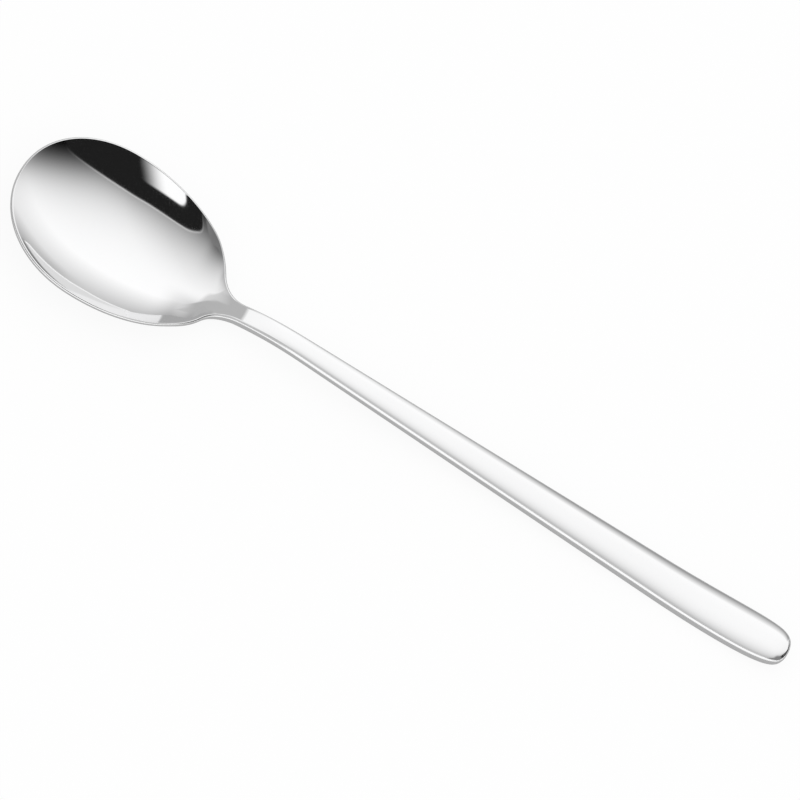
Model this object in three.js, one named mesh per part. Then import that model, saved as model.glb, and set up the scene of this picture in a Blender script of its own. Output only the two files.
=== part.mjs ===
// A long-handled soup spoon, pressed from one stainless steel blank.
// Millimetres, +Z up. The spoon lies as it does on a table: on the bottom of its bowl and the
// underside of its handle. +X runs from the bowl's tip to the handle's end.

import * as THREE from 'three';
import { mergeVertices } from 'three/addons/utils/BufferGeometryUtils.js';

// Overall and bowl, measured along the spoon from the bowl's tip
const SPOON_LENGTH = 210;
const BOWL_WIDTH = 40.6;
const BOWL_FRONT = 23.1;        // tip to the widest place
const BOWL_REAR = 31.7;         // widest place to the heel, where the rear curve would close
const BOWL_DEPTH = 6.5;         // rim to the floor, inside
const DEEPEST_FROM_TIP = 29;
const FRONT_FULLNESS = 2.08;    // the front curve's power: 2 is a plain ellipse, more is squarer
const RIM_SAG = 0.42;           // the rim dips by this much between the widest place and the neck
const BOWL_WALL = 1.25;
const DISH_POWER = 2;           // the bowl is dished across in an even arch

// Neck
const NECK_WIDTH = 4.8;
const NECK_FILLET = 8.4;        // rounds the corner between the bowl and the handle, in plan
const SHOULDER_LENGTH = 14;     // the rim comes down to the neck over this length
const SHOULDER_PAST_HEEL = 5.2; // and has come down this far behind the heel

// Handle
const HANDLE_WIDTH = 10.8;
const HANDLE_THICKNESS = 2.6;   // where the straight stretch starts
const END_THICKNESS = 3.5;      // at the widest place
const CROWN_SHARE = 0.06;       // the top is domed by this share of its width
const CROWN_POWER = 2.7;        // 2 is an even arch, more keeps the middle flatter
const HANDLE_ABOVE_RIM = 1.2;   // height of the handle's straight stretch above the rim
const HANDLE_STRAIGHT_FROM = 76.9;
const FLOOR_RUN = 25.9;         // how far the bowl's floor runs on before it rises to the neck
const RISE_RUN = 19.2;          // how softly the rise ends in the straight stretch
const END_TAPER_LENGTH = 25;    // the widest place to the end
const END_SHOULDER = 22;        // how far the edges stay straight before they round to the end
const END_FULLNESS = 5.5;       // how square the rounded end is
const END_LIFT = 3.1;           // the end is turned up by this much
const END_LIFT_LENGTH = 35;

// Edges all round, and how finely the skin is divided
const RIM_RADIUS = 0.45;
const RIM_WALL_SHARE = 0.45;    // the rim's radius takes at most this share of the bowl's wall
const HANDLE_EDGE_RADIUS = 0.8;
const HANDLE_EDGE_SHARE = 0.34; // the handle's edge radius takes at most this share of its thickness
const FRONT_STEPS = 22;
const REAR_STEPS = 16;
const FILLET_STEPS = 8;
const EDGE_STEPS = 30;
const END_STEPS = 16;
const ACROSS_STEPS = 12;
const ROUND_STEPS = 2;

const smooth = (t) => {
  const s = THREE.MathUtils.clamp(t, 0, 1);
  return s * s * (3 - 2 * s);
};

// The plan outline of one side, from the tip to the handle's end: each point with its outward normal.
function planOutline() {
  const halfBowl = BOWL_WIDTH / 2;
  const heel = new THREE.Vector2(BOWL_FRONT + BOWL_REAR, NECK_WIDTH / 2);
  const widest = new THREE.Vector2(SPOON_LENGTH - END_TAPER_LENGTH, HANDLE_WIDTH / 2);
  const edgeDirection = widest.clone().sub(heel).normalize();
  const edgeNormal = new THREE.Vector2(-edgeDirection.y, edgeDirection.x);
  const outline = [];
  const put = (point, normal) => outline.push({ point, normal: normal.normalize() });

  for (let i = 0; i <= FRONT_STEPS; i++) {
    const a = (i / FRONT_STEPS) * Math.PI / 2;
    const forward = Math.max(0, Math.cos(a)) ** (2 / FRONT_FULLNESS);
    const sideways = Math.sin(a) ** (2 / FRONT_FULLNESS);
    const steepness = FRONT_FULLNESS - 1;
    const normal = new THREE.Vector2(-(forward ** steepness) / BOWL_FRONT, sideways ** steepness / halfBowl);
    put(new THREE.Vector2(BOWL_FRONT * (1 - forward), halfBowl * sideways), normal);
  }

  // The rear of the bowl is half an ellipse that runs into a round fillet on the handle's edge.
  const rear = (a) => ({
    point: new THREE.Vector2(BOWL_FRONT + BOWL_REAR * Math.sin(a), halfBowl * Math.cos(a)),
    normal: new THREE.Vector2(Math.sin(a) / BOWL_REAR, Math.cos(a) / halfBowl).normalize(),
  });
  const filletCentre = (a) => rear(a).point.addScaledVector(rear(a).normal, NECK_FILLET);
  let low = 0;
  let high = Math.PI / 2;
  while (high - low > 1e-9) {
    const middle = (low + high) / 2;
    const clear = filletCentre(middle).sub(heel).dot(edgeNormal) - NECK_FILLET;
    if (clear > 0) low = middle;
    else high = middle;
  }
  for (let i = 1; i <= REAR_STEPS; i++) {
    const { point, normal } = rear((i / REAR_STEPS) * low);
    put(point, normal);
  }
  const centre = filletCentre(low);
  const from = rear(low).normal.angle();
  const to = edgeNormal.angle();
  for (let i = 1; i <= FILLET_STEPS; i++) {
    const a = THREE.MathUtils.lerp(from, to, i / FILLET_STEPS);
    const normal = new THREE.Vector2(Math.cos(a), Math.sin(a));
    put(centre.clone().addScaledVector(normal, -NECK_FILLET), normal);
  }

  const edgeStart = outline.at(-1).point.clone();
  for (let i = 1; i <= EDGE_STEPS; i++) {
    put(edgeStart.clone().lerp(widest, i / EDGE_STEPS), edgeNormal.clone());
  }

  const end = new THREE.CubicBezierCurve(
    widest,
    widest.clone().addScaledVector(edgeDirection, END_SHOULDER),
    new THREE.Vector2(SPOON_LENGTH, END_FULLNESS),
    new THREE.Vector2(SPOON_LENGTH, 0),
  );
  for (let i = 1; i <= END_STEPS; i++) {
    const tangent = end.getTangent(i / END_STEPS);
    put(end.getPoint(i / END_STEPS), new THREE.Vector2(-tangent.y, tangent.x));
  }
  return outline;
}

const rimRadius = Math.min(RIM_RADIUS, RIM_WALL_SHARE * BOWL_WALL);
const handleRadius = Math.min(HANDLE_EDGE_RADIUS, HANDLE_EDGE_SHARE * HANDLE_THICKNESS);
const floorHeight = -HANDLE_ABOVE_RIM - BOWL_DEPTH;
const shoulderEnd = BOWL_FRONT + BOWL_REAR + SHOULDER_PAST_HEEL;

// The rim is level at the tip and dips on its way to the neck.
const DIP_PEAK = 4 / 27;        // the greatest value of a * a * (1 - a)
const rimHeight = (x) => {
  const along = THREE.MathUtils.clamp(x / shoulderEnd, 0, 1);
  return -HANDLE_ABOVE_RIM - RIM_SAG * along * along * (1 - along) / DIP_PEAK;
};

// How far a place along the spoon has gone from bowl (0) to handle (1)
const handleShare = (x) => smooth((x - shoulderEnd + SHOULDER_LENGTH) / SHOULDER_LENGTH);

// The rise from the bowl's floor through the neck to the handle is one soft S-curve.
const rise = new THREE.CubicBezierCurve(
  new THREE.Vector2(DEEPEST_FROM_TIP, floorHeight),
  new THREE.Vector2(DEEPEST_FROM_TIP + FLOOR_RUN, floorHeight),
  new THREE.Vector2(HANDLE_STRAIGHT_FROM - RISE_RUN, 0),
  new THREE.Vector2(HANDLE_STRAIGHT_FROM, 0),
);

function riseHeight(x) {
  if (x >= HANDLE_STRAIGHT_FROM) return 0;
  let low = 0;
  let high = 1;
  while (high - low > 1e-7) {
    const middle = (low + high) / 2;
    if (rise.getPoint(middle).x < x) low = middle;
    else high = middle;
  }
  return rise.getPoint(low).y;
}

// The line along the middle of the top: the bowl's floor, the rise through the neck, and the handle.
function middleHeight(x) {
  if (x < DEEPEST_FROM_TIP) {
    const reach = (DEEPEST_FROM_TIP - x) / (DEEPEST_FROM_TIP - rimRadius);
    return floorHeight + (rimHeight(rimRadius) - floorHeight) * reach * reach;
  }
  const lift = Math.max(0, (x - SPOON_LENGTH + END_LIFT_LENGTH) / END_LIFT_LENGTH);
  return riseHeight(x) + END_LIFT * lift * lift;
}

// The neck is flat across. The crown grows from there until the handle runs straight.
const crownShare = (x) => smooth((x - shoulderEnd) / (HANDLE_STRAIGHT_FROM - shoulderEnd));
const crownDepth = (halfWidth) => 2 * CROWN_SHARE * halfWidth;

// The top of the handle rounds down towards its end by the same arch as towards its sides.
const endDrop = (x) => {
  const span = HANDLE_WIDTH / 2 - handleRadius;
  const reach = Math.max(0, (x - SPOON_LENGTH + handleRadius + span) / span);
  return crownDepth(span) * reach ** CROWN_POWER;
};

// The handle thickens evenly, so that its underside is one flat face along the straight stretch.
function handleThickness(x) {
  const straightTo = SPOON_LENGTH - END_TAPER_LENGTH;
  const along = (x - HANDLE_STRAIGHT_FROM) / (straightTo - HANDLE_STRAIGHT_FROM);
  return THREE.MathUtils.lerp(HANDLE_THICKNESS, END_THICKNESS, THREE.MathUtils.clamp(along, 0, 1));
}

// The cross-section at x: heights of the top and the underside, in the middle and at the edge, the
// power of the arch across and how steeply the top reaches its rounded edge.
function sectionHeights(x, halfWidth) {
  const share = handleShare(x);
  const line = middleHeight(x);
  const middle = line - endDrop(x);
  const crown = crownShare(x) * crownDepth(halfWidth);
  const edge = THREE.MathUtils.lerp(rimHeight(x), middle - crown, share);
  const thickness = handleThickness(x);
  const underMiddle = line - THREE.MathUtils.lerp(BOWL_WALL, thickness, share);
  const underEdge = THREE.MathUtils.lerp(rimHeight(x) - BOWL_WALL, line - thickness, share);
  const power = THREE.MathUtils.lerp(DISH_POWER, CROWN_POWER, crownShare(x));
  const slope = crownShare(x) * CROWN_POWER * crownDepth(1);
  return { middle, edge, underMiddle, underEdge, power, slope };
}

// One closed ring of points round the spoon at a place of the outline. The top and the underside are
// domed or dished across, and a rounded edge follows the outline between them.
function sectionRing({ point, normal }) {
  const radius = THREE.MathUtils.lerp(rimRadius, handleRadius, handleShare(point.x));
  const inset = point.clone().addScaledVector(normal, -radius);
  const halfWidth = Math.max(0, inset.y);
  const { middle, edge, underMiddle, underEdge, power, slope } = sectionHeights(inset.x, halfWidth);
  const face = (sideways, centre, rim) => {
    const height = THREE.MathUtils.lerp(centre, rim, Math.abs(sideways) ** power);
    return new THREE.Vector3(inset.x, sideways * halfWidth, height);
  };
  const round = [];
  for (let i = 1; i <= ROUND_STEPS; i++) {
    const a = (i / ROUND_STEPS) * Math.PI / 2;
    const out = radius * Math.sin(a);
    const drop = radius * (1 - Math.cos(a));
    const place = inset.clone().addScaledVector(normal, out);
    round.push({ x: place.x, y: Math.max(0, place.y), out, drop });
  }
  const upper = round.map(({ x, y, out, drop }) => new THREE.Vector3(x, y, edge - drop - slope * out));
  const lower = round.map(({ x, y, drop }) => new THREE.Vector3(x, y, underEdge + drop)).reverse();
  const side = [...upper, ...lower];
  const otherSide = side.map(({ x, y, z }) => new THREE.Vector3(x, -y, z)).reverse();
  const top = [];
  const under = [];
  for (let j = 0; j <= ACROSS_STEPS; j++) {
    const sideways = (2 * j) / ACROSS_STEPS - 1;
    top.push(face(sideways, middle, edge));
    under.push(face(-sideways, underMiddle, underEdge));
  }
  return [...top, ...side, ...under, ...otherSide];
}

// A closed skin over the rings. The first and the last ring fold flat onto the spoon's middle plane.
function skin(rings) {
  const count = rings[0].length;
  const geometry = new THREE.BufferGeometry();
  const places = rings.flat().flatMap((point) => point.toArray());
  geometry.setAttribute('position', new THREE.Float32BufferAttribute(places, 3));
  const index = [];
  for (let i = 0; i + 1 < rings.length; i++) {
    for (let j = 0; j < count; j++) {
      const next = (j + 1) % count;
      const [a, b, c, d] = [i * count + j, i * count + next, (i + 1) * count + next, (i + 1) * count + j];
      index.push(a, c, b, a, d, c);
    }
  }
  geometry.setIndex(index);
  const welded = mergeVertices(geometry, 1e-4);
  const kept = [];
  const corners = welded.index.array;
  for (let i = 0; i < corners.length; i += 3) {
    const [a, b, c] = corners.subarray(i, i + 3);
    if (a !== b && b !== c && c !== a) kept.push(a, b, c);
  }
  welded.setIndex(kept);
  return welded;
}

// Lays the spoon on the table plane: it is tipped until its bowl and its handle both touch.
function layOnTable(geometry) {
  const lowest = (inBowl) => {
    const place = geometry.getAttribute('position');
    let best = new THREE.Vector3(0, 0, Infinity);
    for (let i = 0; i < place.count; i++) {
      const p = new THREE.Vector3().fromBufferAttribute(place, i);
      if ((p.x < shoulderEnd) === inBowl && p.z < best.z) best = p;
    }
    return best;
  };
  for (let turn = 0; turn < 8; turn++) {
    const bowl = lowest(true);
    const handle = lowest(false);
    geometry.rotateY(Math.atan2(handle.z - bowl.z, handle.x - bowl.x));
  }
  geometry.computeBoundingBox();
  const { min, max } = geometry.boundingBox;
  geometry.translate(-(min.x + max.x) / 2, 0, -min.z);
}

const body = skin(planOutline().map(sectionRing));
layOnTable(body);
body.computeVertexNormals();

const polishedSteel = new THREE.MeshStandardMaterial({ color: 0xd2d3d4, roughness: 0.12, metalness: 1 });
const spoon = new THREE.Mesh(body, polishedSteel);
spoon.name = 'spoon';

const soupSpoon = new THREE.Group();
soupSpoon.add(spoon);

export default soupSpoon;
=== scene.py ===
# %% [markdown]
# # A long-handled soup spoon
# The real spoon is one stainless steel blank: it is cut out, rolled thicker towards the handle, pressed
# into a bowl and polished to a mirror. So the visual model is one piece too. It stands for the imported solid
# of the same name, and it is made at the same size and in the same place, only with a finer skin.

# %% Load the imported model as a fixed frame
import math

import bmesh
import bpy
from mathutils import Matrix, Vector


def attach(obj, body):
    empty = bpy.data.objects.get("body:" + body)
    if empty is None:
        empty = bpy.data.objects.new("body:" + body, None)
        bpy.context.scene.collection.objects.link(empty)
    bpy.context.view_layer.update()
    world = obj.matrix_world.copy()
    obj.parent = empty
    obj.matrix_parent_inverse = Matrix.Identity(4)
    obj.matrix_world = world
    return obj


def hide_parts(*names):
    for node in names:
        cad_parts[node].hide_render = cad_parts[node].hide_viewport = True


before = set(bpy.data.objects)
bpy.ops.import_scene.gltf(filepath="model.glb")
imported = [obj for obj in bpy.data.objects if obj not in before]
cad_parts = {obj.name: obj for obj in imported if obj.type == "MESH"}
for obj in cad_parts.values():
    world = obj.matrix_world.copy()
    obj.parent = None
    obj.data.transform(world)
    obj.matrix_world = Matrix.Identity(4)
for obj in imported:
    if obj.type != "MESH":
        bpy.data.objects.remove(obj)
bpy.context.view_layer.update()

scene = bpy.context.scene
scene.view_settings.view_transform = "Standard"

# %% [markdown]
# ## The camera
# The picture looks down on the spoon from a steep angle, and the camera is rolled, so that the spoon lies
# across the frame from corner to corner. A long lens from over a metre away keeps the far end of the handle
# about as large as the bowl. The lens follows from how much of the table the picture takes in.

# %% Place the camera
LOOK_DOWN = math.radians(60)
SWING = math.radians(12.0)
ROLL = math.radians(41.99)
CAMERA_DISTANCE = 1.2
PICTURE_WIDTH = 0.1840
AIM_HEIGHT = 0.004
AIM_LEFT = 0.00126
AIM_UP = 0.00395
SENSOR_WIDTH = 36

level_right = Vector((math.cos(SWING), -math.sin(SWING), 0))
forward = Vector((math.sin(SWING), math.cos(SWING), 0))
upright = Vector((0, 0, 1))
level_up = forward * math.sin(LOOK_DOWN) + upright * math.cos(LOOK_DOWN)
backward = upright * math.sin(LOOK_DOWN) - forward * math.cos(LOOK_DOWN)
camera_right = level_right * math.cos(ROLL) + level_up * math.sin(ROLL)
camera_up = level_up * math.cos(ROLL) - level_right * math.sin(ROLL)

camera_data = bpy.data.cameras.new("camera")
camera_data.sensor_width = SENSOR_WIDTH
camera_data.lens = SENSOR_WIDTH * CAMERA_DISTANCE / PICTURE_WIDTH
camera = bpy.data.objects.new("camera", camera_data)
scene.collection.objects.link(camera)
aim = Vector((0, 0, AIM_HEIGHT)) - camera_right * AIM_LEFT + camera_up * AIM_UP
place = aim + backward * CAMERA_DISTANCE
for row in range(3):
    camera.matrix_world[row] = (camera_right[row], camera_up[row], backward[row], place[row])
scene.camera = camera
print("camera: lens", round(camera_data.lens, 1), "mm at", [round(c, 3) for c in place])

# %% [markdown]
# ## The outline of the blank
# Seen from above, the spoon is the same on both sides, so one edge is enough. The front of the bowl is a
# quarter of a nearly elliptic curve, the rear is another, longer one, and a round fillet leads from it into
# the straight edge of the handle. The end of the handle is rounded by one Bezier curve. The outline could
# be drawn as a curve object, but each point also needs its outward direction, because the edges are rounded
# along it, so small functions give both.

# %% Sizes of the outline, along the spoon from the bowl's tip
SPOON_LENGTH = 0.210
BOWL_WIDTH = 0.0406
BOWL_FRONT = 0.0231
BOWL_REAR = 0.0317
FRONT_FULLNESS = 2.08
NECK_WIDTH = 0.0048
NECK_FILLET = 0.0084
HANDLE_WIDTH = 0.0108
END_TAPER_LENGTH = 0.025
END_SHOULDER = 0.022
END_FULLNESS = 0.0055

print("outline sizes:", round(1000 * SPOON_LENGTH), "mm long,", round(1000 * BOWL_WIDTH, 1), "mm wide")


# %% The two curves of the bowl
def flat(x, y):
    return Vector((x, y, 0))


def left_of(direction):
    return flat(-direction.y, direction.x).normalized()


def front_edge(share):
    a = share * math.pi / 2
    ahead = max(0.0, math.cos(a)) ** (2 / FRONT_FULLNESS)
    aside = math.sin(a) ** (2 / FRONT_FULLNESS)
    steep = FRONT_FULLNESS - 1
    point = flat(BOWL_FRONT * (1 - ahead), BOWL_WIDTH / 2 * aside)
    return point, flat(-(ahead ** steep) / BOWL_FRONT, 2 * aside ** steep / BOWL_WIDTH).normalized()


def rear_edge(a):
    point = flat(BOWL_FRONT + BOWL_REAR * math.sin(a), BOWL_WIDTH / 2 * math.cos(a))
    return point, flat(math.sin(a) / BOWL_REAR, 2 * math.cos(a) / BOWL_WIDTH).normalized()


print("bowl:", round(1000 * (BOWL_FRONT + BOWL_REAR), 1), "mm long")

# %% Find where the rear of the bowl meets the fillet
HALVINGS = 40

heel = flat(BOWL_FRONT + BOWL_REAR, NECK_WIDTH / 2)
widest = flat(SPOON_LENGTH - END_TAPER_LENGTH, HANDLE_WIDTH / 2)
along_edge = (widest - heel).normalized()
off_edge = left_of(along_edge)


def fillet_centre(a):
    point, outward = rear_edge(a)
    return point + outward * NECK_FILLET


low, high = 0.0, math.pi / 2
for halving in range(HALVINGS):
    middle = (low + high) / 2
    if (fillet_centre(middle) - heel).dot(off_edge) > NECK_FILLET:
        low = middle
    else:
        high = middle
fillet_from = low
fillet_middle = fillet_centre(fillet_from)
fillet_start = rear_edge(fillet_from)[1]
print("the fillet starts", round(1000 * rear_edge(fillet_from)[0].x, 1), "mm from the tip")


# %% The fillet, the straight edge and the handle's end
def fillet_edge(share):
    outward = fillet_start.slerp(off_edge, share)
    return fillet_middle - outward * NECK_FILLET, outward


edge_start = fillet_edge(1)[0]


def handle_edge(share):
    return edge_start.lerp(widest, share), off_edge


end_bends = (
    widest,
    widest + along_edge * END_SHOULDER,
    flat(SPOON_LENGTH, END_FULLNESS),
    flat(SPOON_LENGTH, 0),
)


def bezier(bends, t):
    while len(bends) > 1:
        bends = [a.lerp(b, t) for a, b in zip(bends, bends[1:])]
    return bends[0]


def bezier_direction(bends, t):
    return bezier([b - a for a, b in zip(bends, bends[1:])], t)


def end_edge(share):
    return bezier(end_bends, share), left_of(bezier_direction(end_bends, share))


print("straight edge:", round(1000 * (widest - edge_start).length, 1), "mm long")

# %% Walk round the outline
FRONT_STEPS = 48
REAR_STEPS = 36
FILLET_STEPS = 14
EDGE_STEPS = 60
END_STEPS = 36

outline = [front_edge(0)]
stretches = (
    (front_edge, FRONT_STEPS),
    (lambda share: rear_edge(share * fillet_from), REAR_STEPS),
    (fillet_edge, FILLET_STEPS),
    (handle_edge, EDGE_STEPS),
    (end_edge, END_STEPS),
)
for stretch, steps in stretches:
    outline += [stretch(i / steps) for i in range(1, steps + 1)]
print("outline:", len(outline), "stations from tip to end")

# %% [markdown]
# ## The heights that the press gives
# Along its middle the top runs down into the bowl, up through the neck in one soft S-curve and on along the
# straight handle, whose end is turned up a little. Across the bowl the top is dished, across the neck it is
# flat, and across the handle it is crowned. The crown also rounds down at the handle's end. The underside
# follows at the thickness of the sheet. A sculpted mesh could give such a form too, but a mirror shows every
# dent, so the heights come from smooth formulas.

# %% Sizes of the press
BOWL_DEPTH = 0.0065
DEEPEST_FROM_TIP = 0.029
BOWL_WALL = 0.00125
RIM_SAG = 0.00042
SHOULDER_LENGTH = 0.014
SHOULDER_PAST_HEEL = 0.0052
HANDLE_THICKNESS = 0.0026
END_THICKNESS = 0.0035
CROWN_SHARE = 0.060    # the handle's top is domed by this share of its width
CROWN_POWER = 2.7      # 2 is an even arch, more keeps the middle flatter
DISH_POWER = 2.0
HANDLE_ABOVE_RIM = 0.0012
HANDLE_STRAIGHT_FROM = 0.0769
FLOOR_RUN = 0.0259
RISE_RUN = 0.0192
END_LIFT = 0.0031
END_LIFT_LENGTH = 0.035
RIM_RADIUS = 0.00045
HANDLE_EDGE_RADIUS = 0.0008

floor_height = -HANDLE_ABOVE_RIM - BOWL_DEPTH
shoulder_end = BOWL_FRONT + BOWL_REAR + SHOULDER_PAST_HEEL
print("the bowl has become handle", round(1000 * shoulder_end, 1), "mm from the tip")


# %% Helpers that mix and ease numbers
def mix(a, b, share):
    return a + (b - a) * share


def clamp(value):
    return min(1.0, max(0.0, value))


def ease(value):
    share = clamp(value)
    return share * share * (3 - 2 * share)


print("easing a quarter of the way gives", ease(0.25))

# %% Heights along the rim and along the middle
DIP_PEAK = 4 / 27    # the greatest value of a * a * (1 - a)


def rim_height(x):
    a = clamp(x / shoulder_end)
    return -HANDLE_ABOVE_RIM - RIM_SAG * a * a * (1 - a) / DIP_PEAK


rise_bends = (
    flat(DEEPEST_FROM_TIP, floor_height),
    flat(DEEPEST_FROM_TIP + FLOOR_RUN, floor_height),
    flat(HANDLE_STRAIGHT_FROM - RISE_RUN, 0),
    flat(HANDLE_STRAIGHT_FROM, 0),
)


def rise_height(x):
    if x >= HANDLE_STRAIGHT_FROM:
        return 0.0
    low, high = 0.0, 1.0
    for halving in range(HALVINGS):
        middle = (low + high) / 2
        if bezier(rise_bends, middle).x < x:
            low = middle
        else:
            high = middle
    return bezier(rise_bends, low).y


def middle_height(x):
    if x < DEEPEST_FROM_TIP:
        reach = (DEEPEST_FROM_TIP - x) / (DEEPEST_FROM_TIP - RIM_RADIUS)
        return mix(floor_height, rim_height(RIM_RADIUS), reach * reach)
    lift = max(0.0, (x - SPOON_LENGTH + END_LIFT_LENGTH) / END_LIFT_LENGTH)
    return rise_height(x) + END_LIFT * lift * lift


print("bowl:", round(1000 * (rim_height(0) - floor_height), 1), "mm deep inside")


# %% Heights across the spoon
def crown_depth(half_width):
    return 2 * CROWN_SHARE * half_width


def end_drop(x):
    """The top rounds down towards the handle's end by the same arch as towards its sides."""
    span = HANDLE_WIDTH / 2 - HANDLE_EDGE_RADIUS
    reach = max(0.0, (x - SPOON_LENGTH + HANDLE_EDGE_RADIUS + span) / span)
    return crown_depth(span) * reach ** CROWN_POWER


def handle_thickness(x):
    along = (x - HANDLE_STRAIGHT_FROM) / (SPOON_LENGTH - END_TAPER_LENGTH - HANDLE_STRAIGHT_FROM)
    return mix(HANDLE_THICKNESS, END_THICKNESS, clamp(along))


def handle_share(x):
    """How far a place along the spoon has gone from bowl (0) to handle (1)."""
    return ease((x - shoulder_end + SHOULDER_LENGTH) / SHOULDER_LENGTH)


def crown_share(x):
    """The neck is flat across, and the crown grows until the handle runs straight."""
    return ease((x - shoulder_end) / (HANDLE_STRAIGHT_FROM - shoulder_end))


def section_heights(x, half_width):
    """Heights of the top and the underside, in the middle and at the edge."""
    share = handle_share(x)
    line = middle_height(x)
    middle = line - end_drop(x)
    edge = mix(rim_height(x), middle - crown_share(x) * crown_depth(half_width), share)
    thickness = handle_thickness(x)
    under_middle = line - mix(BOWL_WALL, thickness, share)
    under_edge = mix(rim_height(x) - BOWL_WALL, line - thickness, share)
    return middle, edge, under_middle, under_edge


print("handle's crown:", round(1000 * crown_depth(HANDLE_WIDTH / 2), 2), "mm high at its widest")

# %% [markdown]
# ## One ring round the spoon
# At each station of the outline a closed ring runs over the top, round one edge, back along the underside
# and round the other edge. The points over the top crowd together towards the edges, so that the crease
# between the dished bowl and its rounded rim stays crisp after the skin is subdivided.

# %% Ring of points at one station
ACROSS_STEPS = 32
ROUND_STEPS = 4

quarter = [i / ROUND_STEPS * math.pi / 2 for i in range(1, ROUND_STEPS + 1)]
sideways = [math.sin((2 * j / ACROSS_STEPS - 1) * math.pi / 2) for j in range(ACROSS_STEPS + 1)]


def section_ring(point, outward):
    radius = mix(RIM_RADIUS, HANDLE_EDGE_RADIUS, handle_share(point.x))
    inset = point - outward * radius
    half_width = max(0.0, inset.y)
    middle, edge, under_middle, under_edge = section_heights(inset.x, half_width)
    power = mix(DISH_POWER, CROWN_POWER, crown_share(inset.x))
    steepness = crown_share(inset.x) * CROWN_POWER * crown_depth(1)
    arch = [(s * half_width, abs(s) ** power) for s in sideways]
    top = [Vector((inset.x, y, mix(middle, edge, rise))) for y, rise in arch]
    under = [Vector((inset.x, -y, mix(under_middle, under_edge, rise))) for y, rise in arch]
    upper, lower = [], []
    for a in quarter:
        out = radius * math.sin(a)
        drop = radius * (1 - math.cos(a))
        reach = inset + outward * out
        upper.append(Vector((reach.x, max(0.0, reach.y), edge - drop - steepness * out)))
        lower.insert(0, Vector((reach.x, max(0.0, reach.y), under_edge + drop)))
    far_edge = upper + lower
    near_edge = [Vector((p.x, -p.y, p.z)) for p in reversed(far_edge)]
    return top + far_edge + under + near_edge


rings = [section_ring(point, outward) for point, outward in outline]
ring_count = len(rings[0])
edge_count = 2 * ROUND_STEPS
print("each ring has", ring_count, "points")

# %% [markdown]
# ## The skin
# A flat grid is wrapped round the rings like a sleeve: its long direction runs from the tip to the end, and
# its short direction goes once round. Merging the doubles closes the seam and the two folded ends. A vertex
# attribute marks the rounded edges, which the finish needs later.

# %% Wrap a grid round the rings
GRID_SIZE = 1.0
MERGE_DISTANCE = 1e-7

skin = bmesh.new()
bmesh.ops.create_grid(skin, x_segments=len(rings) - 1, y_segments=ring_count, size=GRID_SIZE)
edge_mark = skin.verts.layers.float.new("ground_edge")
for vertex in skin.verts:
    station = round((vertex.co.x / GRID_SIZE + 1) / 2 * (len(rings) - 1))
    turn = round((vertex.co.y / GRID_SIZE + 1) / 2 * ring_count) % ring_count
    vertex.co = rings[station][turn]
    after_top = turn - len(sideways)
    after_under = after_top - edge_count - len(sideways)
    vertex[edge_mark] = 1.0 if 0 <= after_top < edge_count or after_under >= 0 else 0.0
bmesh.ops.remove_doubles(skin, verts=skin.verts, dist=MERGE_DISTANCE)
bmesh.ops.dissolve_degenerate(skin, edges=skin.edges, dist=MERGE_DISTANCE)
bmesh.ops.recalc_face_normals(skin, faces=skin.faces)
open_edges = sum(not edge.is_manifold for edge in skin.edges)
print("skin:", len(skin.faces), "faces,", open_edges, "open edges")

# %% [markdown]
# ## Laying it on the table
# A spoon on a table touches it with the bottom of its bowl and with the underside of its handle. The skin
# is tipped about the Y axis until both are level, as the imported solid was, and then set on the floor.

# %% Tip the spoon until bowl and handle both touch
LEVELLING_TURNS = 8


def lowest_vertex(in_bowl):
    return min((v.co for v in skin.verts if (v.co.x < shoulder_end) == in_bowl), key=lambda co: co.z)


for turn in range(LEVELLING_TURNS):
    in_bowl, in_handle = lowest_vertex(True), lowest_vertex(False)
    slope = math.atan2(in_handle.z - in_bowl.z, in_handle.x - in_bowl.x)
    bmesh.ops.rotate(skin, verts=skin.verts, matrix=Matrix.Rotation(slope, 3, "Y"))
ends = [v.co.x for v in skin.verts]
foot = min(v.co.z for v in skin.verts)
bmesh.ops.translate(skin, verts=skin.verts, vec=(-(min(ends) + max(ends)) / 2, 0, -foot))
print("spoon laid on the table, turned by", round(math.degrees(slope), 4), "degrees in the last step")

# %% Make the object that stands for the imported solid
spoon_mesh = bpy.data.meshes.new("polished_spoon")
skin.to_mesh(spoon_mesh)
skin.free()
spoon_mesh.polygons.foreach_set("use_smooth", [True] * len(spoon_mesh.polygons))
spoon = bpy.data.objects.new("polished_spoon", spoon_mesh)
scene.collection.objects.link(spoon)
subdivision = spoon.modifiers.new("subdivision", "SUBSURF")
subdivision.levels = subdivision.render_levels = 1
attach(spoon, "root")
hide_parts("spoon")
print("object:", spoon.name, "with", len(spoon_mesh.polygons), "faces before subdivision")

# %% [markdown]
# ## The polished steel
# The finish is a mirror, but not a perfect one. Polishing wheels leave very fine lines along the spoon, and
# the buffed surface has a faint haze that comes and goes. The edges are ground on a belt, so they are a
# little duller. These effects are node groups that put out plain values, and the material mixes them into
# the roughness, the colour and a very shallow bump.


# %% Small helpers for node trees
def new_group(name, inputs, outputs):
    group = bpy.data.node_groups.new(name, "ShaderNodeTree")
    for socket, kind in inputs:
        group.interface.new_socket(socket, in_out="INPUT", socket_type=kind)
    for socket, kind in outputs:
        group.interface.new_socket(socket, in_out="OUTPUT", socket_type=kind)
    return group, group.nodes.new("NodeGroupInput"), group.nodes.new("NodeGroupOutput")


def add_node(tree, kind, **settings):
    node = tree.nodes.new(kind)
    for name, value in settings.items():
        setattr(node, name, value)
    return node


def feed(tree, value, socket):
    if isinstance(value, bpy.types.NodeSocket):
        tree.links.new(value, socket)
    else:
        socket.default_value = value


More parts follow.
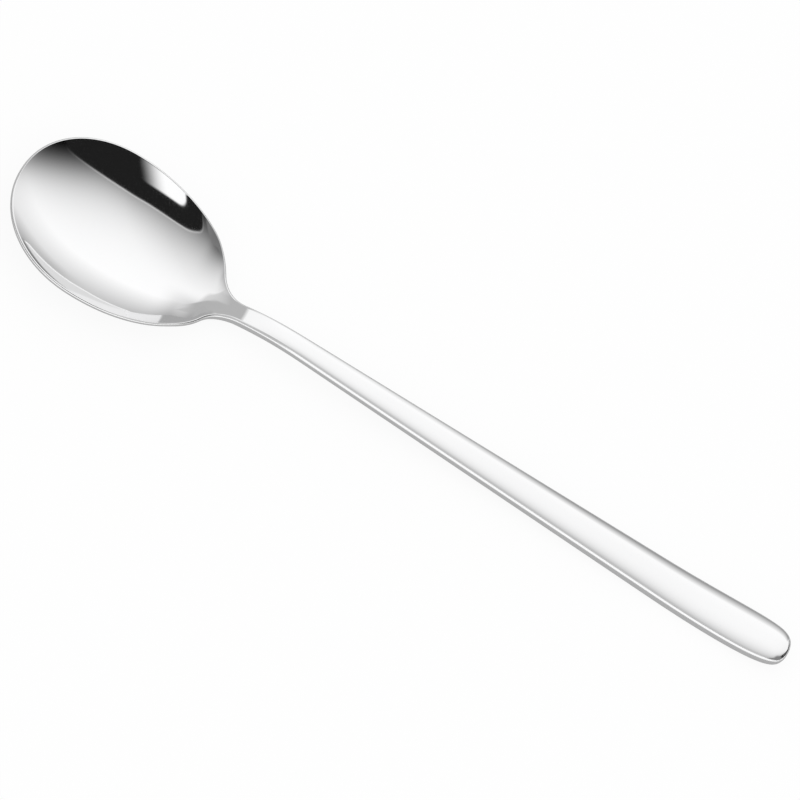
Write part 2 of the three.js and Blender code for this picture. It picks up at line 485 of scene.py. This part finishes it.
def math_node(tree, operation, *values, clamped=False):
    node = add_node(tree, "ShaderNodeMath", operation=operation, use_clamp=clamped)
    for value, socket in zip(values, node.inputs):
        feed(tree, value, socket)
    return node.outputs[0]


def map_range(tree, value, from_low, from_high, to_low, to_high, smooth=False):
    kind = "SMOOTHSTEP" if smooth else "LINEAR"
    node = add_node(tree, "ShaderNodeMapRange", interpolation_type=kind)
    for given, name in zip((value, from_low, from_high, to_low, to_high),
                           ("Value", "From Min", "From Max", "To Min", "To Max")):
        feed(tree, given, node.inputs[name])
    return node.outputs["Result"]


print("helpers for node trees are ready")

# %% Node group: fine lines that a polishing wheel leaves along the spoon
LINE_DETAIL = 3.0

polish_lines, given, result = new_group(
    "polish_lines",
    [("Place", "NodeSocketVector"), ("Stretch", "NodeSocketVector")],
    [("Lines", "NodeSocketFloat")],
)
stretched = add_node(polish_lines, "ShaderNodeVectorMath", operation="MULTIPLY")
polish_lines.links.new(given.outputs["Place"], stretched.inputs[0])
polish_lines.links.new(given.outputs["Stretch"], stretched.inputs[1])
line_noise = add_node(polish_lines, "ShaderNodeTexNoise")
line_noise.inputs["Scale"].default_value = 1.0
line_noise.inputs["Detail"].default_value = LINE_DETAIL
polish_lines.links.new(stretched.outputs[0], line_noise.inputs["Vector"])
polish_lines.links.new(line_noise.outputs["Fac"], result.inputs["Lines"])
print("node group:", polish_lines.name)

# %% The steel: its lines, its haze and its ground edges
HAZE_SCALE = 55.0
LINE_STRETCH = (60.0, 2600.0, 2600.0)

steel = bpy.data.materials.new("polished_steel")
steel.use_nodes = True
tree = steel.node_tree
surface = tree.nodes["Principled BSDF"]
surface.inputs["Metallic"].default_value = 1.0
place_on = add_node(tree, "ShaderNodeTexCoord")
lines = add_node(tree, "ShaderNodeGroup", node_tree=polish_lines)
tree.links.new(place_on.outputs["Object"], lines.inputs["Place"])
lines.inputs["Stretch"].default_value = LINE_STRETCH
haze = add_node(tree, "ShaderNodeTexNoise")
haze.inputs["Scale"].default_value = HAZE_SCALE
tree.links.new(place_on.outputs["Object"], haze.inputs["Vector"])
edge = add_node(tree, "ShaderNodeAttribute", attribute_name="ground_edge")
print("material:", steel.name)

# %% The steel: roughness, colour and bump
STEEL_BRIGHT = (0.87, 0.87, 0.873, 1)
STEEL_HAZED = (0.85, 0.85, 0.854, 1)
FACE_ROUGHNESS = 0.036
EDGE_ROUGHNESS = 0.20
HAZE_ROUGHNESS = 0.008
LINE_ROUGHNESS = 0.008
LINE_DEPTH = 4e-7
FIRST_COLOUR, SECOND_COLOUR, MIXED_COLOUR = 6, 7, 2    # a Mix node's sockets for colours

dull = map_range(tree, edge.outputs["Fac"], 0.0, 1.0, FACE_ROUGHNESS, EDGE_ROUGHNESS)
hazed = math_node(tree, "MULTIPLY_ADD", haze.outputs["Fac"], HAZE_ROUGHNESS, dull)
lined = math_node(tree, "MULTIPLY_ADD", lines.outputs["Lines"], LINE_ROUGHNESS, hazed)
tree.links.new(lined, surface.inputs["Roughness"])

tint = add_node(tree, "ShaderNodeMix", data_type="RGBA")
tree.links.new(haze.outputs["Fac"], tint.inputs["Factor"])
tint.inputs[FIRST_COLOUR].default_value = STEEL_BRIGHT
tint.inputs[SECOND_COLOUR].default_value = STEEL_HAZED
tree.links.new(tint.outputs[MIXED_COLOUR], surface.inputs["Base Color"])

bump = add_node(tree, "ShaderNodeBump")
bump.inputs["Distance"].default_value = LINE_DEPTH
tree.links.new(lines.outputs["Lines"], bump.inputs["Height"])
tree.links.new(bump.outputs["Normal"], surface.inputs["Normal"])
spoon_mesh.materials.append(steel)
print("steel:", len(tree.nodes), "nodes, roughness", FACE_ROUGHNESS, "and on its edges", EDGE_ROUGHNESS)

# %% [markdown]
# ## The studio
# Polished metal looks like what stands round it. Here that is a white studio. A broad soft light hangs over
# the far side of the table and dims slowly towards the camera's side, where a dark card hangs with a small
# white light behind it. The bowl shows the card as its dark crescent, and the light as the white patch in it.
# A pale board with a white frame stands at the far wall, above a dark strip, and the bowl's near rim shows
# it. A grey sheet and some shade close the left side. All these could be lamps and boards, but a mirror shows
# each edge of them, so they are painted on the world by direction, where their edges are easy to set. Each
# direction is followed to a level ceiling at height 1, or to a far wall at distance 1, so that straight edges
# stay straight.


# %% Node group: a card with rounded corners
card_mask, given, result = new_group(
    "card_mask",
    [(name, "NodeSocketFloat") for name in (
        "Along", "Across", "Middle Along", "Middle Across", "Half Length", "Half Width", "Corner", "Blur")],
    [("Mask", "NodeSocketFloat")],
)


def beyond_corner(place, middle, half):
    off = math_node(card_mask, "SUBTRACT", given.outputs[place], given.outputs[middle])
    straight = math_node(card_mask, "SUBTRACT", given.outputs[half], given.outputs["Corner"])
    return math_node(card_mask, "SUBTRACT", math_node(card_mask, "ABSOLUTE", off), straight)


past_length = beyond_corner("Along", "Middle Along", "Half Length")
past_width = beyond_corner("Across", "Middle Across", "Half Width")
outside = add_node(card_mask, "ShaderNodeVectorMath", operation="LENGTH")
corner_place = add_node(card_mask, "ShaderNodeCombineXYZ")
card_mask.links.new(math_node(card_mask, "MAXIMUM", past_length, 0.0), corner_place.inputs["X"])
card_mask.links.new(math_node(card_mask, "MAXIMUM", past_width, 0.0), corner_place.inputs["Y"])
card_mask.links.new(corner_place.outputs[0], outside.inputs[0])
inside = math_node(card_mask, "MINIMUM", math_node(card_mask, "MAXIMUM", past_length, past_width), 0.0)
from_straight = math_node(card_mask, "ADD", outside.outputs["Value"], inside)
from_edge = math_node(card_mask, "SUBTRACT", from_straight, given.outputs["Corner"])
soft_from = math_node(card_mask, "MULTIPLY", given.outputs["Blur"], -1.0)
covered = map_range(card_mask, from_edge, soft_from, given.outputs["Blur"], 1.0, 0.0, smooth=True)
card_mask.links.new(covered, result.inputs["Mask"])
print("node group:", card_mask.name)

# %% World: an empty sky and helpers for it
world = bpy.data.worlds.new("studio")
scene.world = world
world.use_nodes = True
sky = world.node_tree
sky.nodes.clear()


def sky_math(operation, *values):
    return math_node(sky, operation, *values)


def ramp(value, start, full):
    """Smoothly 0 before the start and 1 after the full value, whichever is larger."""
    return map_range(sky, value, start, full, 0.0, 1.0, smooth=True)


def blend(share, below, above):
    return map_range(sky, share, 0.0, 1.0, below, above)


print("world:", world.name, "with", len(sky.nodes), "nodes")

# %% World: where a direction meets the ceiling and the far wall
EDGE_TURN = math.radians(19.9)    # the dark card's edge is turned by this much from the spoon's length
EDGE_FORWARD = -0.281             # and crosses the spoon's middle this far towards the camera
WALL_SLANT = 0.367                # the board on the far wall hangs at this slope
LOWEST = 0.03                     # flatter directions count as this flat

look = add_node(sky, "ShaderNodeSeparateXYZ")
sky.links.new(add_node(sky, "ShaderNodeTexCoord").outputs["Generated"], look.inputs[0])
look_x, look_y, look_z = look.outputs["X"], look.outputs["Y"], look.outputs["Z"]
rise = sky_math("MAXIMUM", look_z, LOWEST)
ceiling_x = sky_math("DIVIDE", look_x, rise)
ceiling_y = sky_math("DIVIDE", look_y, rise)
beyond = sky_math("SUBTRACT", ceiling_y, EDGE_FORWARD)


def turned(share_x, share_y):
    return sky_math("MULTIPLY_ADD", ceiling_x, share_x, sky_math("MULTIPLY", beyond, share_y))


along = turned(math.cos(EDGE_TURN), math.sin(EDGE_TURN))
across = turned(-math.sin(EDGE_TURN), math.cos(EDGE_TURN))
far = sky_math("MAXIMUM", look_y, LOWEST)
wall_x = sky_math("DIVIDE", look_x, far)
wall_z = sky_math("MULTIPLY_ADD", wall_x, -WALL_SLANT, sky_math("DIVIDE", look_z, far))
print("world: ceiling turned by", round(math.degrees(EDGE_TURN), 1), "degrees, wall slanted by", WALL_SLANT)

# %% World: the soft light
SOFT_LIGHT = 1.16
DIM_WIDTH = 0.578              # how slowly it dims towards the camera's side, over the bowl's neck
DIM_WIDTH_RIGHT = 0.385        # and over its tip
DIM_CHANGE = (-0.049, 0.271)   # between these places along the card's edge
DIM_OFFSET = 0.797
DIM_POWER = 3.0
LEAN_FROM = 0.428              # to the right of this the light starts farther away
LEAN = 0.447
LEAN_BLEND = 0.15
LEFT_SHARE = 0.20              # at the left it never dims below this
LEFT_CHANGE = (-0.60, -0.75)
HORIZON_SHARE = 0.457          # it is weaker near the horizon
HORIZON_UP_TO = 0.528

lean = sky_math("MULTIPLY", sky_math("SUBTRACT", along, LEAN_FROM), LEAN)
back_off = sky_math("SMOOTH_MAX", lean, 0.0, LEAN_BLEND)
width = map_range(sky, along, *DIM_CHANGE, DIM_WIDTH, DIM_WIDTH_RIGHT)
depth = sky_math("DIVIDE", sky_math("SUBTRACT", across, back_off), width)
lifted = sky_math("MAXIMUM", sky_math("ADD", depth, DIM_OFFSET), 0.0)
ratio = sky_math("POWER", lifted, DIM_POWER)
dimmed = sky_math("DIVIDE", ratio, sky_math("ADD", ratio, 1.0))
left_share = sky_math("MULTIPLY", ramp(along, *LEFT_CHANGE), LEFT_SHARE)
bright = sky_math("MAXIMUM", dimmed, left_share)
haze_down = map_range(sky, look_z, 0.0, HORIZON_UP_TO, HORIZON_SHARE, 1.0)
clear_light = sky_math("MULTIPLY", sky_math("MULTIPLY", bright, haze_down), SOFT_LIGHT)
print("soft light:", SOFT_LIGHT, "at its brightest")

# %% World: shade above the far board and at the left
BOARD_SHADE = 0.6                    # what is left of the light just above the board
BOARD_SHADE_HEIGHTS = (0.05, 0.20)   # on the wall, where this shade is full and where it has ended
BOARD_SHADE_RIGHT = (0.05, 0.25)     # it starts and is full here, towards the right
LEFT_SHADE = 0.50                    # what is left of the light at the left
LEFT_SHADE_TURN = (-0.12, -0.36)     # it starts and is full here, towards the left
LEFT_SHADE_HEIGHTS = (0.85, 0.40)    # and here, going down

over_board = map_range(sky, wall_z, *BOARD_SHADE_HEIGHTS, BOARD_SHADE, 1.0)
far_side = sky_math("GREATER_THAN", look_y, 0.0)
at_right = sky_math("MULTIPLY", ramp(wall_x, *BOARD_SHADE_RIGHT), far_side)
at_left = sky_math("MULTIPLY", ramp(wall_x, *LEFT_SHADE_TURN), ramp(look_z, *LEFT_SHADE_HEIGHTS))
shade = sky_math("MULTIPLY", blend(at_right, 1.0, over_board), blend(at_left, 1.0, LEFT_SHADE))
soft_light = sky_math("MULTIPLY", clear_light, shade)
print("shade: down to", BOARD_SHADE, "above the board and", LEFT_SHADE, "at the left")

# %% World: the sheet at the left
SHEET_TONE = 0.50
SHEET_CEILING = (-0.43, -0.46)       # it starts and is full here on the ceiling, towards the left
SHEET_FORWARD = (0.45, 0.60)         # and here, towards the far wall
SHEET_TURN = (-0.23, -0.37)          # and here on the far wall, towards the left

sheet_turned = sky_math("MULTIPLY", ramp(ceiling_x, *SHEET_CEILING), ramp(wall_x, *SHEET_TURN))
sheet_left = sky_math("MULTIPLY", sheet_turned, ramp(ceiling_y, *SHEET_FORWARD))
with_sheet = blend(sheet_left, soft_light, SHEET_TONE)
print("sheet: tone", SHEET_TONE)

# %% World: the board on the far wall
BOARD_TONE = 0.82
BOARD_SIZES = dict(Middle_Along=0.16, Middle_Across=-0.4, Blur=0.004)
BOARD_HALF = (0.256, 0.474)
BOARD_CORNER = 0.03
BOARD_FRAME = 0.012            # a white frame runs round the board
STRIP_TONE = 0.2               # under the board's right end the wall is dark
STRIP_SLOPE = 0.30
STRIP_START = -0.061
STRIP_BLUR = 0.006
STRIP_END = (0.45, 0.41)


def card(place_along, place_across, **sizes):
    node = add_node(sky, "ShaderNodeGroup", node_tree=card_mask)
    sky.links.new(place_along, node.inputs["Along"])
    sky.links.new(place_across, node.inputs["Across"])
    for name, value in sizes.items():
        node.inputs[name.replace("_", " ")].default_value = value
    return node.outputs["Mask"]


def board(frame_width):
    return card(wall_x, wall_z, Half_Length=BOARD_HALF[0] + frame_width,
                Half_Width=BOARD_HALF[1] + frame_width, Corner=BOARD_CORNER + frame_width, **BOARD_SIZES)


with_frame = blend(board(BOARD_FRAME), with_sheet, SOFT_LIGHT)
with_board = blend(board(0.0), with_frame, BOARD_TONE)
strip_top = sky_math("MULTIPLY_ADD", wall_x, STRIP_SLOPE, STRIP_START)
under_strip = ramp(sky_math("SUBTRACT", strip_top, wall_z), -STRIP_BLUR, STRIP_BLUR)
strip = sky_math("MULTIPLY", under_strip, ramp(wall_x, *STRIP_END))
with_strip = blend(strip, with_board, STRIP_TONE)
print("board:", [round(2 * half, 2) for half in BOARD_HALF], "wide and high on a wall at distance 1")

# %% World: the dark card
CARD_TONE = 0.014
CARD_BLUR = 0.007
CARD_RIGHT_END = 0.92
CARD_LEFT_END = -0.585
CARD_BEND = (-0.313, 0.906, -0.08)     # at the right its edge bends off along this line
BEND_BLEND = 0.056
END_BLEND = 0.05
CARD_ROUNDING = 0.16
BORDER_INNER = (0.004, 0.010)          # a thin border round the card starts and is full here, off its edge
BORDER_OUTER = (0.020, 0.013)          # and it has ended and is still full here
BORDER_LIGHT = 1.7                     # it is brighter than what lies round it by this

bend_along, bend_across, bend_start = CARD_BEND
slant = sky_math("MULTIPLY_ADD", along, bend_along,
                 sky_math("MULTIPLY_ADD", across, bend_across, bend_start))
top_edge = sky_math("SMOOTH_MAX", across, slant, BEND_BLEND)
right_end = sky_math("SUBTRACT", along, CARD_RIGHT_END)
left_end = sky_math("SUBTRACT", CARD_LEFT_END, along)
card_ends = sky_math("SMOOTH_MAX", right_end, left_end, END_BLEND)
from_dark = sky_math("SMOOTH_MAX", top_edge, card_ends, CARD_ROUNDING)
dark = ramp(from_dark, CARD_BLUR, -CARD_BLUR)
border = sky_math("MULTIPLY", ramp(from_dark, *BORDER_INNER), ramp(from_dark, *BORDER_OUTER))
with_border = sky_math("MULTIPLY", with_strip, blend(border, 1.0, BORDER_LIGHT))
with_card = blend(dark, with_border, CARD_TONE)
print("dark card:", round(CARD_RIGHT_END - CARD_LEFT_END, 2), "long on a ceiling at height 1")

# %% World: the small light behind the card and the light in front
PATCH_SIZES = dict(Middle_Along=0.0, Middle_Across=-0.32, Half_Length=0.336, Half_Width=0.135,
                   Corner=0.125, Blur=0.012)
PATCH_FADE = (0.091, -0.134)           # towards the bowl's tip the small light fades out
FRONT_LIGHT = (-0.55, -0.85)           # the light in front starts and is full here, towards the camera

patch = sky_math("MULTIPLY", card(along, across, **PATCH_SIZES), ramp(along, *PATCH_FADE))
with_patch = blend(patch, with_card, SOFT_LIGHT)
front = sky_math("MULTIPLY", ramp(across, *FRONT_LIGHT), SOFT_LIGHT)
studio_tone = sky_math("MAXIMUM", with_patch, front)
print("small light:", 2 * PATCH_SIZES["Half_Length"], "by", 2 * PATCH_SIZES["Half_Width"])

# %% World: what each kind of ray sees
WHITE = (1.0, 1.0, 1.0, 1.0)

paths = add_node(sky, "ShaderNodeLightPath")
seen_by_metal = paths.outputs["Is Glossy Ray"]
strength = map_range(sky, seen_by_metal, 0.0, 1.0, 1.0, studio_tone)
background = add_node(sky, "ShaderNodeBackground")
background.inputs["Color"].default_value = WHITE
sky.links.new(strength, background.inputs["Strength"])
world_out = add_node(sky, "ShaderNodeOutputWorld")
sky.links.new(background.outputs[0], world_out.inputs["Surface"])
print("world:", len(sky.nodes), "nodes")

# %% [markdown]
# ## Five cards close to the spoon
# A white handle on a white table loses its edges. So a dark card stands behind it and a grey one hangs in
# front of it, so close that only the handle mirrors them. Smaller cards do the same for the top of the neck,
# for its near edge and for the handle's end. They could be painted on the world like the rest of the studio,
# but the world is endlessly far away, so the bowl would mirror them as well. That is why they are real
# planes. Only mirrored rays see them, and they fade out towards their edges.


# %% Helper: the plane of a card
UNIT_HALF = 0.5    # a grid of this size measures 1 by 1


def card_plane(name, lowest, highest):
    sides = Vector(highest) - Vector(lowest)
    shape = bmesh.new()
    bmesh.ops.create_grid(shape, x_segments=1, y_segments=1, size=UNIT_HALF)
    if sides.y == 0:
        quarter_turn = Matrix.Rotation(math.radians(90), 3, "X")
        bmesh.ops.rotate(shape, matrix=quarter_turn, verts=shape.verts)
    bmesh.ops.scale(shape, vec=sides, verts=shape.verts)
    bmesh.ops.translate(shape, vec=(Vector(lowest) + Vector(highest)) / 2, verts=shape.verts)
    mesh = bpy.data.meshes.new(name)
    shape.to_mesh(mesh)
    shape.free()
    print("card:", name, [round(1000 * side) for side in sides], "mm")
    return mesh


# %% Helper: the paint of a card, which thins out towards its edges
def card_paint(name, tone, fades):
    """Each fade gives a direction, the places where the paint is thinnest and full, and the least cover."""
    paint = bpy.data.materials.new(name)
    paint.use_nodes = True
    coat = paint.node_tree
    coat.nodes.remove(coat.nodes["Principled BSDF"])
    spot = add_node(coat, "ShaderNodeTexCoord").outputs["Object"]
    cover = 1.0
    for direction, thin_at, full_at, least in fades:
        way = add_node(coat, "ShaderNodeVectorMath", operation="DOT_PRODUCT")
        coat.links.new(spot, way.inputs[0])
        way.inputs[1].default_value = direction
        share = map_range(coat, way.outputs["Value"], thin_at, full_at, least, 1.0)
        cover = math_node(coat, "MULTIPLY", share, cover)
    shine = add_node(coat, "ShaderNodeEmission")
    shine.inputs["Color"].default_value = (tone, tone, tone, 1)
    thinned = add_node(coat, "ShaderNodeMixShader")
    coat.links.new(cover, thinned.inputs["Fac"])
    coat.links.new(add_node(coat, "ShaderNodeBsdfTransparent").outputs[0], thinned.inputs[1])
    coat.links.new(shine.outputs[0], thinned.inputs[2])
    coat.links.new(thinned.outputs[0], coat.nodes["Material Output"].inputs["Surface"])
    print("paint:", name, "with", len(fades), "fades")
    return paint


# %% Helper: a card that only a mirror sees
def mirror_card(name, lowest, highest, tone, fades):
    mesh = card_plane(name, lowest, highest)
    piece = bpy.data.objects.new(name, mesh)
    scene.collection.objects.link(piece)
    piece.visible_camera = False
    piece.visible_diffuse = False
    piece.visible_transmission = False
    piece.visible_shadow = False
    mesh.materials.append(card_paint(name, tone, fades))


# %% The cards behind the handle, in front of it and past its end
ALONG = (1, 0, 0)
ACROSS = (0, 1, 0)
UP = (0, 0, 1)
BEHIND_TONE = 0.33
BEHIND_LOWEST = (-0.035, 0.045, 0.001)
BEHIND_HIGHEST = (0.130, 0.045, 0.048)
BEHIND_FADES = ((ALONG, -0.035, 0.050, 0), (UP, 0.047, 0.021, 0))
FRONT_TONE = 0.60
FRONT_LOWEST = (-0.043, -0.064, 0.065)
FRONT_HIGHEST = (0.135, -0.010, 0.065)
FRONT_FADES = ((ALONG, -0.043, -0.036, 0), (ACROSS, -0.010, -0.018, 0), (ACROSS, -0.064, -0.054, 0))
PAST_TONE = 0.25
PAST_LOWEST = (0.112, -0.050, 0.040)
PAST_HIGHEST = (0.240, 0.004, 0.040)
PAST_FADES = ((ALONG, 0.112, 0.118, 0), (ACROSS, 0.004, -0.002, 0))

mirror_card("card_behind", BEHIND_LOWEST, BEHIND_HIGHEST, BEHIND_TONE, BEHIND_FADES)
mirror_card("card_in_front", FRONT_LOWEST, FRONT_HIGHEST, FRONT_TONE, FRONT_FADES)
mirror_card("card_past_end", PAST_LOWEST, PAST_HIGHEST, PAST_TONE, PAST_FADES)

# %% The cards over the neck and beside it
SLANTED = (1, 0.36, 0)
NECK_TONE = 0.52
NECK_LOWEST = (-0.072, 0.0, 0.015)
NECK_HIGHEST = (-0.046, 0.032, 0.015)
NECK_FADES = ((ALONG, -0.0470, -0.0482, 0), (ACROSS, 0.0, 0.0022, 0), (ACROSS, 0.032, 0.026, 0),
              (SLANTED, -0.0562, -0.0555, 0), (SLANTED, -0.0560, -0.0505, 0.50))
BESIDE_TONE = 0.55
BESIDE_LOWEST = (-0.070, -0.030, 0.020)
BESIDE_HIGHEST = (-0.030, -0.005, 0.020)
BESIDE_FADES = ((ALONG, -0.070, -0.064, 0), (ALONG, -0.030, -0.034, 0), (ACROSS, -0.005, -0.007, 0))

mirror_card("card_over_neck", NECK_LOWEST, NECK_HIGHEST, NECK_TONE, NECK_FADES)
mirror_card("card_beside_neck", BESIDE_LOWEST, BESIDE_HIGHEST, BESIDE_TONE, BESIDE_FADES)

# %% [markdown]
# ## The floor
# The spoon lies on a plain white sheet of paper. It is lit by the sky, so that the spoon keeps its soft
# shadow, and it also glows by itself, so that it is as white as the picture's background. More light on the
# scene could do that too, but it would wash out the metal. The metal sees less of the glow close to the
# spoon. That is painted shade: a band along the spoon's length, set by the distance to its middle line,
# which stands for the spoon's shade on the paper.

# %% Make the floor
FLOOR_HALF_SIDE = 3.0

floor_shape = bmesh.new()
bmesh.ops.create_grid(floor_shape, x_segments=1, y_segments=1, size=FLOOR_HALF_SIDE)
floor_mesh = bpy.data.meshes.new("floor")
floor_shape.to_mesh(floor_mesh)
floor_shape.free()
floor = bpy.data.objects.new("floor", floor_mesh)
scene.collection.objects.link(floor)
print("floor: a sheet", 2 * FLOOR_HALF_SIDE, "m wide")

# %% The floor's paper
FLOOR_COLOUR = (0.93, 0.93, 0.93, 1)
PAPER_ROUGHNESS = 0.9
GLOW_SHARE = 0.9
# painted shade: what the metal sees of the glow is turned down in a band along the spoon's length
GLOW_IN_PAINTED_SHADE = 0.45              # what the metal sees of the glow close to the spoon
GLOW_FAR = 0.88                 # and away from it
PAINTED_SHADE_SIDES = (0.025, 0.06)     # between these distances to its side

paper = bpy.data.materials.new("white_sheet")
paper.use_nodes = True
leaf = paper.node_tree
matt = leaf.nodes["Principled BSDF"]
matt.inputs["Base Color"].default_value = FLOOR_COLOUR
matt.inputs["Roughness"].default_value = PAPER_ROUGHNESS
matt.inputs["Specular IOR Level"].default_value = 0.0
glow = add_node(leaf, "ShaderNodeEmission")
glow.inputs["Color"].default_value = WHITE
floor_paths = add_node(leaf, "ShaderNodeLightPath")
seen, glossy, through = (
    floor_paths.outputs[name] for name in ("Is Camera Ray", "Is Glossy Ray", "Is Transmission Ray"))
mirrored = math_node(leaf, "ADD", glossy, through)
floor_xyz = add_node(leaf, "ShaderNodeSeparateXYZ")
leaf.links.new(add_node(leaf, "ShaderNodeTexCoord").outputs["Object"], floor_xyz.inputs[0])
aside = math_node(leaf, "ABSOLUTE", floor_xyz.outputs["Y"])
# painted shade: the glow seen by mirrored rays dims towards the spoon's middle line, by distance alone
glow_for_metal_with_painted_shade = map_range(leaf, aside, *PAINTED_SHADE_SIDES, GLOW_IN_PAINTED_SHADE, GLOW_FAR, smooth=True)
leaf.links.new(map_range(leaf, seen, 0.0, 1.0, glow_for_metal_with_painted_shade, 1.0), glow.inputs["Strength"])
glow_share = math_node(leaf, "MULTIPLY", math_node(leaf, "ADD", seen, mirrored), GLOW_SHARE, clamped=True)
glowing = add_node(leaf, "ShaderNodeMixShader")
leaf.links.new(glow_share, glowing.inputs["Fac"])
leaf.links.new(matt.outputs[0], glowing.inputs[1])
leaf.links.new(glow.outputs[0], glowing.inputs[2])
leaf.links.new(glowing.outputs[0], leaf.nodes["Material Output"].inputs["Surface"])
floor_mesh.materials.append(paper)
print("paper:", len(leaf.nodes), "nodes")
